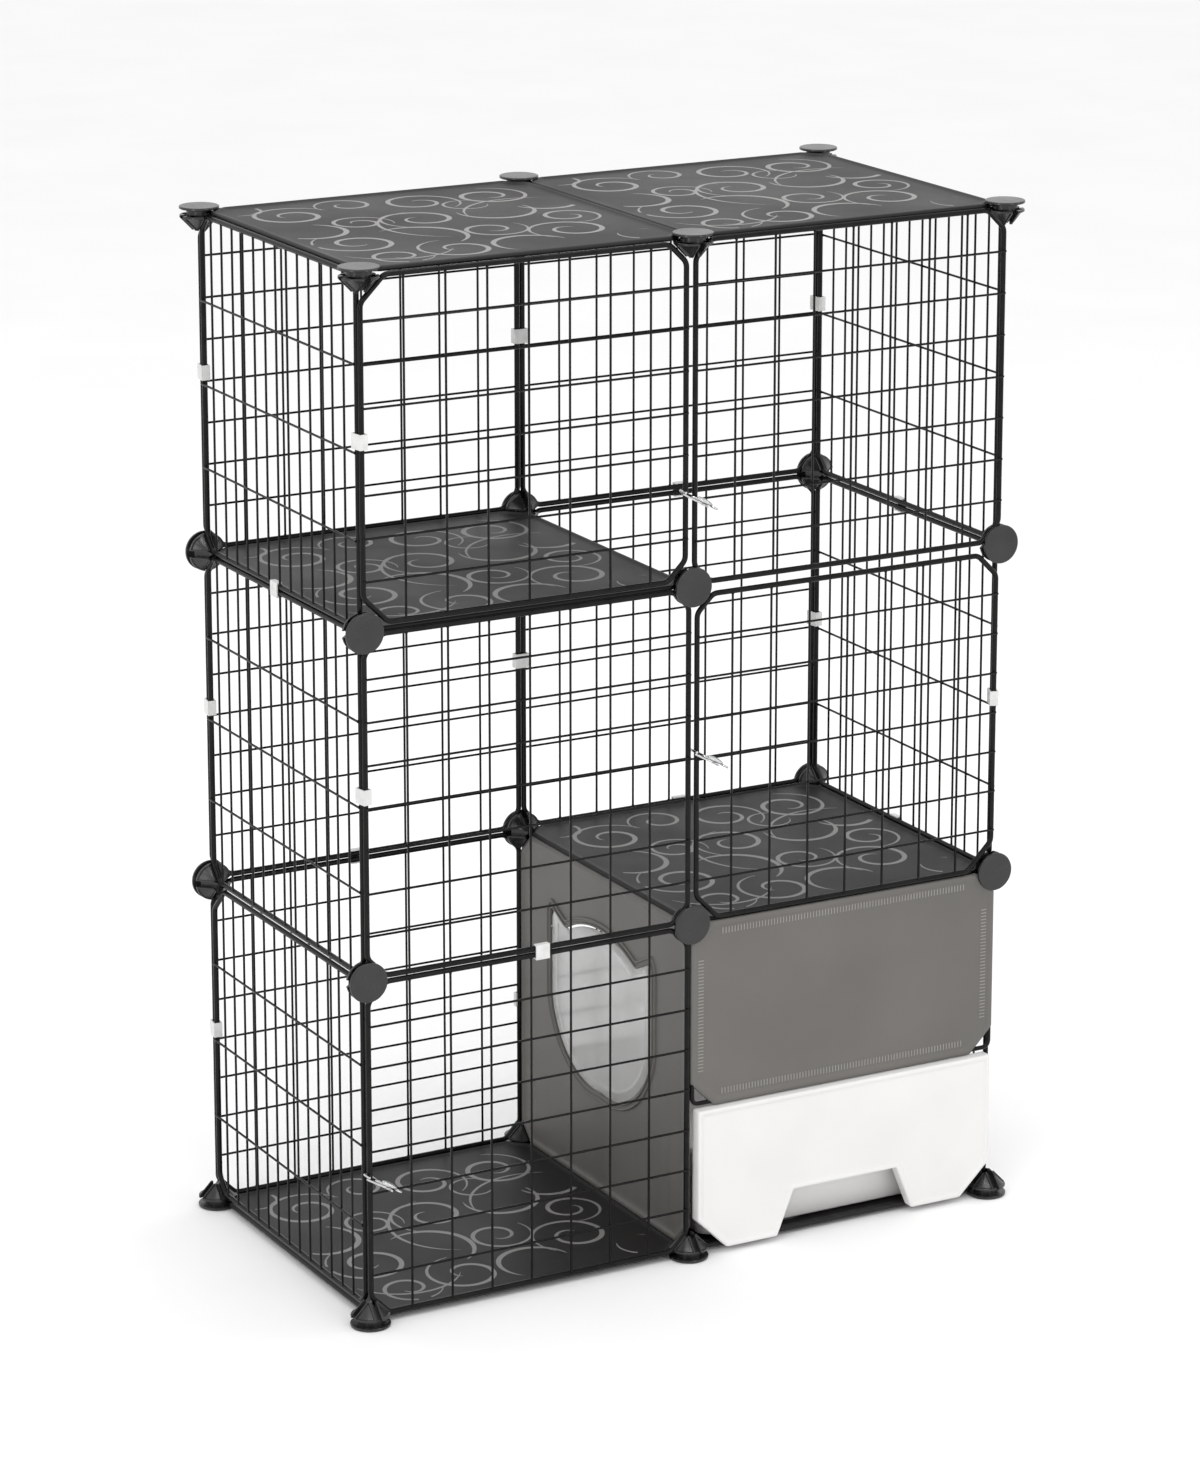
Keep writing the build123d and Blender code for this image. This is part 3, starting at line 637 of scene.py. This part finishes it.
# Half-height sheet over the drawer
LITTER_HEIGHT = 196
LITTER_LOW_INSET = PAIR + 3
LITTER_LOW_CORNER = 4
LITTER_HEM_DROP = 2
LITTER_LOW_LEG = 25
litter_top = level(1)
litter_low = litter_top - LITTER_HEIGHT
litter_insets = (PAIR, POST, LITTER_LOW_INSET, PAIR)
litter_sums = (PAIR + LITTER_LOW_CORNER + LITTER_LOW_INSET, POST + LITTER_LOW_CORNER + LITTER_LOW_INSET, CORNER, CORNER)
litter_points = corner_outline((0, BAY), (litter_low, litter_top), litter_insets, litter_sums)
hem_points = corner_outline((0, BAY), (litter_low - LITTER_HEM_DROP, litter_top), litter_insets, litter_sums)
litter_cut = hem_outline(hem_points, (LITTER_LOW_LEG, LITTER_LOW_LEG, HEM_LEG, HEM_LEG))
sheet("sheet_litter_front", FRONT, litter_points, GREY, litter_cut, None, LOW_HEM)
litter_ticks = ticks(litter_points, inwards=9.2, pitch=3.5, half=0.65, length=6.4)
place("litter_weld_ticks", litter_ticks, FRONT, WELD, "cage", ())


# Partition, trim and flap
HEAD_MIDDLE = 3.5
HEAD_RISE = 190
HEAD_HALF_WIDTH = 111
HEAD_HALF_HEIGHT = 92
HEAD_BEND = 5.0
ARC_POINTS = 30
PIN_HEIGHT = 258
PIN_SPAN = (104.0, 109.8)
PIN_R = 1.45


def arc(start, through, end, count):
    """Points on the circle through three points, without the last one."""
    (ax, ay), (bx, by), (cx, cy) = start, through, end
    d = 2 * (ax * (by - cy) + bx * (cy - ay) + cx * (ay - by))
    ux = ((ax**2 + ay**2) * (by - cy) + (bx**2 + by**2) * (cy - ay) + (cx**2 + cy**2) * (ay - by)) / d
    uy = ((ax**2 + ay**2) * (cx - bx) + (bx**2 + by**2) * (ax - cx) + (cx**2 + cy**2) * (bx - ax)) / d
    radius = math.hypot(ax - ux, ay - uy)
    first = math.atan2(ay - uy, ax - ux)
    last = math.atan2(cy - uy, cx - ux)
    middle = math.atan2(by - uy, bx - ux)
    full = 2 * math.pi
    if (last - first) % full < (middle - first) % full:
        sweep = (last - first) % full - full
    else:
        sweep = (last - first) % full
    points = []
    for k in range(count):
        angle = first + sweep * k / count
        points.append((ux + radius * math.cos(angle), uy + radius * math.sin(angle)))
    return points


def head_outline():
    """The cat's head on the middle of its trim, counter-clockwise."""
    base = level(0)
    crown = arc((74.5, base + 270), (0, base + 289), (-74.5, base + 270), ARC_POINTS)
    ear_left = [(-74.5, base + 270), (-105, base + 285), (-111, base + 276)]
    jaw_left = arc((-111, base + 184), (-82, base + 130), (0, base + 104), ARC_POINTS)
    jaw_right = arc((0, base + 104), (82, base + 130), (111, base + 184), ARC_POINTS)
    ear_right = [(111, base + 184), (111, base + 276), (105, base + 285)]
    points = crown + ear_left + jaw_left + jaw_right + ear_right
    return [(x + HEAD_MIDDLE, y) for x, y in points]


HEAD_CORNERS = head_outline()
HEAD = rounded(HEAD_CORNERS, HEAD_BEND, 4)
partition_points = corner_outline(WHOLE, span(0), (NEST,) * 4, FIXED)
partition_cut = hem_outline(partition_points, (HEM_LEG,) * 4)
sheet("sheet_partition", PARTITION, partition_points, GREY, partition_cut, HEAD, TALL_HEM)


def band(outline, profile):
    """A closed section carried round an outline."""
    shape = Shape()
    rows = []
    for out, high in profile:
        corners = rounded(grown(outline, out), HEAD_BEND, 4)
        rows.append(shape.ring([(x, y, high) for x, y in corners]))
    for i in range(len(rows)):
        shape.bridge(rows[i - 1], rows[i])
    return shape


TRIM_PROFILE = (
    (-4.0, 1.6), (-3.5, 2.7), (-2.6, 3.0), (-1.7, 2.7), (-1.2, 1.3),
    (1.0, 1.3), (1.5, 2.6), (2.5, 2.95), (3.5, 2.5), (4.0, 1.2),
    (4.0, -1.2), (3.5, -2.5), (2.5, -2.95), (1.5, -2.6), (1.0, -1.3),
    (-1.2, -1.3), (-1.7, -2.7), (-2.6, -3.0), (-3.5, -2.7), (-4.0, -1.6),
)
place("flap_trim_ring", band(HEAD_CORNERS, TRIM_PROFILE), PARTITION, GREY, "cage", ("flap_trim",), 50)


def shrunk(amount):
    """The head's outline drawn in towards its middle."""
    middle = level(0) + HEAD_RISE
    narrower, lower = 1 - amount / HEAD_HALF_WIDTH, 1 - amount / HEAD_HALF_HEIGHT
    return [(HEAD_MIDDLE + (x - HEAD_MIDDLE) * narrower, middle + (y - middle) * lower) for x, y in HEAD]


def flap_shape():
    """The flap with a raised line inside its edge and a pin on each side."""
    shape = Shape()
    lines = (
        (5.8, 0.0), (6.0, 0.7), (6.6, 1.0), (13.0, 1.0), (14.0, 1.35), (16.0, 1.4), (17.0, 1.0), (18.0, 0.8),
        (21.0, 0.8),
    )
    numbers = []
    for side in (1, -1):
        rows = []
        for inwards, high in lines if side > 0 else lines[1:]:
            rows.append(shape.ring([(x, y, side * high) for x, y in shrunk(inwards)]))
        numbers.append(rows)
        for lower, upper in zip(rows, rows[1:]):
            shape.bridge(lower, upper)
        shape.cap(rows[-1])
    shape.bridge(numbers[0][0], numbers[1][0])
    for way in (-1, 1):
        pin = [(HEAD_MIDDLE + way * reach, level(0) + PIN_HEIGHT) for reach in PIN_SPAN]
        tube(shape, pin, PIN_R, 14)
    return shape


place("flap_pane", flap_shape(), PARTITION, FLAP, "flap", ("cat_flap",), 40)

# Drawer tray
TRAY_FRONT = -172.69
TRAY_BACK = 167
TRAY_WIDTH = 332
TRAY_MIDDLE = (BAY / 2, (TRAY_FRONT + TRAY_BACK) / 2)
TRAY_HALF = (TRAY_WIDTH / 2, (TRAY_BACK - TRAY_FRONT) / 2)
TRAY_LOW = level(0) + 3.3
TRAY_TOP = TRAY_LOW + 95


def tray_loop(inset, height, radius):
    """One rounded oblong of the tray."""
    half_x, half_y = TRAY_HALF[0] - inset, TRAY_HALF[1] - inset
    points = []
    for corner, (sign_x, sign_y) in enumerate(((1, -1), (1, 1), (-1, 1), (-1, -1))):
        for k in range(9):
            angle = math.radians(-90 + 90 * corner + 90 * k / 8)
            x = TRAY_MIDDLE[0] + sign_x * (half_x - radius) + radius * math.cos(angle)
            y = TRAY_MIDDLE[1] + sign_y * (half_y - radius) + radius * math.sin(angle)
            points.append((x, y, height))
    return points


def tray_shape():
    """A thin tub with a turned-over rim."""
    shape = Shape()
    loops = (
        (16.0, TRAY_LOW + 2.2, 12), (14.5, TRAY_LOW + 3.4, 14), (7.0, TRAY_TOP - 2.0, 18), (5.6, TRAY_TOP - 0.3, 19),
        (4.6, TRAY_TOP, 20), (1.2, TRAY_TOP, 23), (0.2, TRAY_TOP - 0.7, 24), (0.0, TRAY_TOP - 2.2, 24),
        (1.0, TRAY_TOP - 4.5, 23), (2.6, TRAY_TOP - 4.5, 21), (3.8, TRAY_TOP - 2.6, 20), (13.0, TRAY_LOW + 2.2, 13),
        (15.0, TRAY_LOW, 11),
    )
    rows = [shape.ring(tray_loop(*values)) for values in loops]
    for lower, upper in zip(rows, rows[1:]):
        shape.bridge(lower, upper)
    shape.cap(rows[0])
    shape.cap(rows[-1])
    return shape


place("drawer_tub", tray_shape(), WORLD, DRAWER, "drawer", ("drawer_tray",), 50)


def soften(node, material, width):
    """Give a CAD node its finish, whole flat faces and rounded edges."""
    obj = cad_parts[node]
    obj.data.materials.clear()
    obj.data.materials.append(material)
    flatten = obj.modifiers.new("whole faces", "DECIMATE")
    flatten.decimate_type = "DISSOLVE"
    flatten.angle_limit = math.radians(2)
    rounding = obj.modifiers.new("rounded edges", "BEVEL")
    rounding.width = width * MM
    rounding.segments = 3
    rounding.limit_method = "ANGLE"
    rounding.angle_limit = math.radians(30)


# Drawer front
DRAWER_SPAN = (5.0, 351.0)
DRAWER_LOW = level(0)
DRAWER_HIGH = level(0) + 150
SHELL_BACK = 176.288
DRAWER_CORNER = (34, 33)
HANDLE_HIGH = DRAWER_LOW + 47
HANDLE = ((98.0, DRAWER_LOW), (117.0, HANDLE_HIGH), (239.0, HANDLE_HIGH), (258.0, DRAWER_LOW))
RIB_PLACES = (60.0, 296.0)
RIB_HALF = 1.5


def drawer_shape():
    """A shell with rounded edges, a border line, a cut-out for the hand and two ribs behind."""
    left, right = DRAWER_SPAN
    cut_across, cut_up = DRAWER_CORNER
    outline = [
        (left + cut_across, DRAWER_LOW), *HANDLE, (right - cut_across, DRAWER_LOW), (right, DRAWER_LOW + cut_up),
        (right, DRAWER_HIGH), (left, DRAWER_HIGH), (left, DRAWER_LOW + cut_up),
    ]
    shape = Shape()
    lines = (
        (2.4, 9.7), (2.4, 0.1), (0.0, 0.1), (0.0, 10.4), (0.3, 11.3), (0.9, 11.95), (1.8, 12.19), (4.2, 12.19),
        (4.6, 11.9), (5.0, 11.5), (8.0, 11.5),
    )
    rows = []
    for inwards, high in lines:
        corners = rounded(grown(outline, -inwards), 2.0, 3)
        rows.append(shape.ring([(x, y, high) for x, y in corners]))
    for lower, upper in zip(rows, rows[1:]):
        shape.bridge(lower, upper)
    shape.cap(rows[0])
    shape.cap(rows[-1])
    for x in RIB_PLACES:
        shape.box((x - RIB_HALF, DRAWER_LOW + cut_up, -3.6), (x + RIB_HALF, TRAY_TOP, 10.5))
    return shape


SHELL = plane((0, -SHELL_BACK, 0), (1, 0, 0), (0, 0, 1), (0, -1, 0))
place("drawer_shell", drawer_shape(), SHELL, DRAWER, "drawer", ("drawer_front",), 50)
soften("wire_clips", CLIP, 0.45)

# Snap hooks
HOOK_BACK = 4.89
HOOK_AXIS = HOOK_BACK + 3.35
HOOK_BODY_SIDE = -1.4
CLAW_R = 1.3
CLAW_SIDE = -0.15
CLAW_HALF = 5.4
CLAW_TURN = -1.5
EYE_R = 3.45
EYE_WIRE_R = 0.95
EYE_AT = (30.4, HOOK_AXIS + 0.9)
RIVET_AT = 18.9


def hook_shape():
    """A claw of round wire, a bulged body, an eye and a rivet."""
    shape = Shape()
    claw = [(12.0, HOOK_AXIS), (7.4, HOOK_AXIS - 1.4), (CLAW_HALF, HOOK_AXIS - 3.4), (CLAW_HALF, CLAW_TURN)]
    for k in range(9):
        angle = math.pi * k / 8
        claw.append((CLAW_HALF * math.cos(angle), CLAW_TURN - CLAW_HALF / 2 * math.sin(angle)))
    claw += [(-CLAW_HALF, CLAW_TURN), (-CLAW_HALF, 6.0), (-5.2, 8.8)]
    path = [point for k, point in enumerate(claw) if k == 0 or point != claw[k - 1]]
    tube(shape, path, CLAW_R, 12, height=CLAW_SIDE)
    rows = []
    for x, high, thick in (
        (9.4, 1.2, 1.2), (10.8, 2.1, 1.9), (13.5, 2.9, 2.4), (17.0, 3.3, 2.6), (21.0, 3.1, 2.4), (24.5, 2.4, 1.9),
        (26.8, 1.6, 1.3), (27.8, 0.9, 0.8),
    ):
        ring = []
        for k in range(20):
            angle = 2 * math.pi * k / 20
            ring.append((x, HOOK_AXIS + high * math.cos(angle), HOOK_BODY_SIDE + thick * math.sin(angle)))
        rows.append(shape.ring(ring))
    for lower, upper in zip(rows, rows[1:]):
        shape.bridge(lower, upper)
    shape.cap(rows[0])
    shape.cap(rows[-1])
    eye = []
    for k in range(24):
        angle = 2 * math.pi * k / 24
        eye.append((EYE_AT[0] + EYE_R * math.cos(angle), EYE_AT[1] + EYE_R * math.sin(angle)))
    tube(shape, eye, EYE_WIRE_R, 12, closed=True)
    rivet = Shape()
    lathe(rivet, ((1.0, 0.0), (1.0, 2.6), (0.7, 2.95)), 16)
    shape.join(rivet, Matrix.Translation((RIVET_AT, HOOK_AXIS, 0)))
    return shape


def hook_plane(post_x, height, tilt):
    """The tilted drawing plane of a hook on a front post."""
    slope = math.radians(tilt)
    along = Vector((math.cos(slope), 0, -math.sin(slope)))
    out = Vector((0, -1, 0))
    return plane((post_x, -DEPTH / 2, height), along, out, along.cross(out))


HOOKS = (
    # name, body, post, height, tilt
    ("top", "door_top", -DOOR_TOP_INSETS[1], level(2) + 94, 30),
    ("mid", "door_mid", DOOR_MID_INSETS[0], level(1) + 176, 30),
    ("low", "cage", -BAY + POST, level(0) + 146, 31),
)
HOOK = hook_shape()
for hook, body, post_x, height, tilt in HOOKS:
    node = f"hook_{hook}_body"
    place(f"{node}_cast", HOOK, hook_plane(post_x, height, tilt), CHROME, body, (node,), 50)
    soften(f"hook_{hook}_gate", CHROME, 0.35)


# Connectors
SLOT = 3.3
CORE_BASE = 13.4
CORE_TIP = 0.4


def quadrant():
    """A quarter of the slotted cone, with a raised rib along each slot."""
    shape = Shape()
    profile = (
        (SLOT * math.sqrt(2), -3.1), (19.1, -3.1), (19.5, -3.5), (19.5, -5.0), (19.1, -5.4), (17.4, -5.7), (16.6, -6.4),
        (5.9, -17.8), (5.4, -18.6), (SLOT * math.sqrt(2), -18.6),
    )
    columns = 10
    rows = []
    for radius, height in profile:
        edge = math.asin(min(1, SLOT / radius))
        points = []
        for k in range(columns + 1):
            angle = edge + (math.pi / 2 - 2 * edge) * k / columns
            points.append((radius * math.cos(angle), radius * math.sin(angle), height))
        rows.append(shape.ring(points))
    for lower, upper in zip(rows, rows[1:]):
        shape.bridge(lower, upper, closed=False)
    for end in (0, -1):
        shape.cap([row[end] for row in rows])
    for turned in (False, True):
        outline = ((7, -4.0), (19.1, -4.0), (19.1, -5.4), (18.4, -6.0), (6.9, -17.7), (6.2, -18.6), (3.4, -18.6))
        sides = []
        for y in (SLOT + 0.02, SLOT + 1.25):
            points = [(x, y, z) if not turned else (y, x, z) for x, z in outline]
            sides.append(shape.ring(points))
        shape.bridge(*sides)
        shape.cap(sides[0])
        shape.cap(sides[1])
    return shape


def connector_shape():
    """Disc, hub, core and four quadrants."""
    shape = Shape()
    lathe(shape, ((19.3, 3.12), (19.9, 3.5), (19.95, 4.9), (19.7, 5.5), (19.2, 5.74), (18.3, 5.79), (17.4, 5.79)), 64)
    lathe(shape, ((12.6, -3.2), (12.6, 3.2)), 40)
    square = ((1, 1), (-1, 1), (-1, -1), (1, -1))
    base = shape.ring([(x * CORE_BASE, y * CORE_BASE, -3.1) for x, y in square])
    tip = shape.ring([(x * CORE_TIP, y * CORE_TIP, -16.2) for x, y in square])
    shape.bridge(base, tip)
    shape.cap(base)
    shape.cap(tip)
    quarter = quadrant()
    for turn in range(4):
        shape.join(quarter, Matrix.Rotation(math.radians(90 * turn), 4, "Z"))
    return shape


CONNECTOR = connector_shape()
COLUMNS = {
    "front_left": (-BAY, -DEPTH / 2),
    "front_mid": (0, -DEPTH / 2),
    "front_right": (BAY, -DEPTH / 2),
    "back_left": (-BAY, DEPTH / 2),
    "back_mid": (0, DEPTH / 2),
    "back_right": (BAY, DEPTH / 2),
}
for column, (x, y) in COLUMNS.items():
    outward = -1 if y < 0 else 1
    for storey, way in enumerate(((0, 0, -1), (0, outward, 0), (0, outward, 0), (0, 0, 1))):
        up = Vector(way).cross(Vector((1, 0, 0)))
        matrix = plane((x, y, level(storey)), (1, 0, 0), up, way)
        name = f"connector_{column}_{storey}"
        place(f"{name}_piece", CONNECTOR, matrix, BLACK, "cage", (name,), 30)

# Floor, light and camera
floor_material, floor_nodes, floor_links, floor_main = shader("studio floor")
floor_main.inputs["Roughness"].default_value = 0.9
floor_main.inputs["Specular IOR Level"].default_value = 0.1
floor_noise = noise(floor_nodes, floor_links, 3, 2)
floor_tint = tint(floor_nodes, floor_links, floor_noise.outputs["Fac"], (0.93, 0.93, 0.93), (0.95, 0.95, 0.95))
floor_links.new(floor_tint, floor_main.inputs["Base Color"])
floor_data = bpy.data.meshes.new("studio_floor")
FLOOR_REACH = 30.0
FLOOR_DROP = 0.0005
floor_corners = [(x * FLOOR_REACH, y * FLOOR_REACH, 0) for x, y in ((-1, -1), (1, -1), (1, 1), (-1, 1))]
floor_data.from_pydata(floor_corners, [], [(0, 1, 2, 3)])
floor_data.materials.append(floor_material)
floor = bpy.data.objects.new("studio_floor", floor_data)
floor.location = (0, 0, -FLOOR_DROP)
bpy.context.scene.collection.objects.link(floor)

world = bpy.data.worlds.new("studio")
world.use_nodes = True
world.node_tree.nodes["Background"].inputs["Color"].default_value = (1.0, 1.0, 1.0, 1)
world.node_tree.nodes["Background"].inputs["Strength"].default_value = 1.0
bpy.context.scene.world = world


def softbox(name, place_at, target, size, power):
    """A soft area light that looks at a point."""
    light = bpy.data.lights.new(name, "AREA")
    light.shape = "RECTANGLE"
    light.size, light.size_y = size
    light.energy = power
    obj = bpy.data.objects.new(name, light)
    obj.location = place_at
    obj.rotation_euler = (Vector(target) - Vector(place_at)).to_track_quat("-Z", "Y").to_euler()
    bpy.context.scene.collection.objects.link(obj)


softbox("key", (-2.6, -2.2, 3.4), (0, 0, 0.5), (0.9, 0.9), 8)
softbox("top", (0.6, 0.4, 3.6), (0, 0, 0.5), (2.2, 0.5), 20)
softbox("left strip", (-3.2, -1.6, 1.4), (0, 0, 0.55), (0.06, 2.2), 14)
softbox("front strip", (0.9, -3.6, 1.6), (0, 0, 0.55), (0.06, 2.2), 9)
softbox("overhead strip", (-0.4, -1.2, 3.2), (0, 0, 0.6), (2.4, 0.06), 14)
softbox("fill", (3.4, -2.6, 1.6), (0, 0, 0.5), (0.6, 2.2), 8)

# The camera fitted to the photograph
CAMERA_PLACE = (-2.3278, -4.2235, 1.9213)
CAMERA_LOOK = (0.46889, 0.85202, -0.23284)
CAMERA_RIGHT = (0.876, -0.482, 0.0)
camera_data = bpy.data.cameras.new("photo_camera")
camera_data.sensor_width = 36.0
camera_data.lens = 121.8
camera_data.shift_y = -0.1737
camera = bpy.data.objects.new("photo_camera", camera_data)
look = Vector(CAMERA_LOOK).normalized()
right = Vector(CAMERA_RIGHT).normalized()
up = right.cross(look).normalized()
camera.matrix_world = plane(CAMERA_PLACE, right, up, -look)
bpy.context.scene.collection.objects.link(camera)
bpy.context.scene.camera = camera
bpy.context.scene.view_settings.view_transform = "Standard"
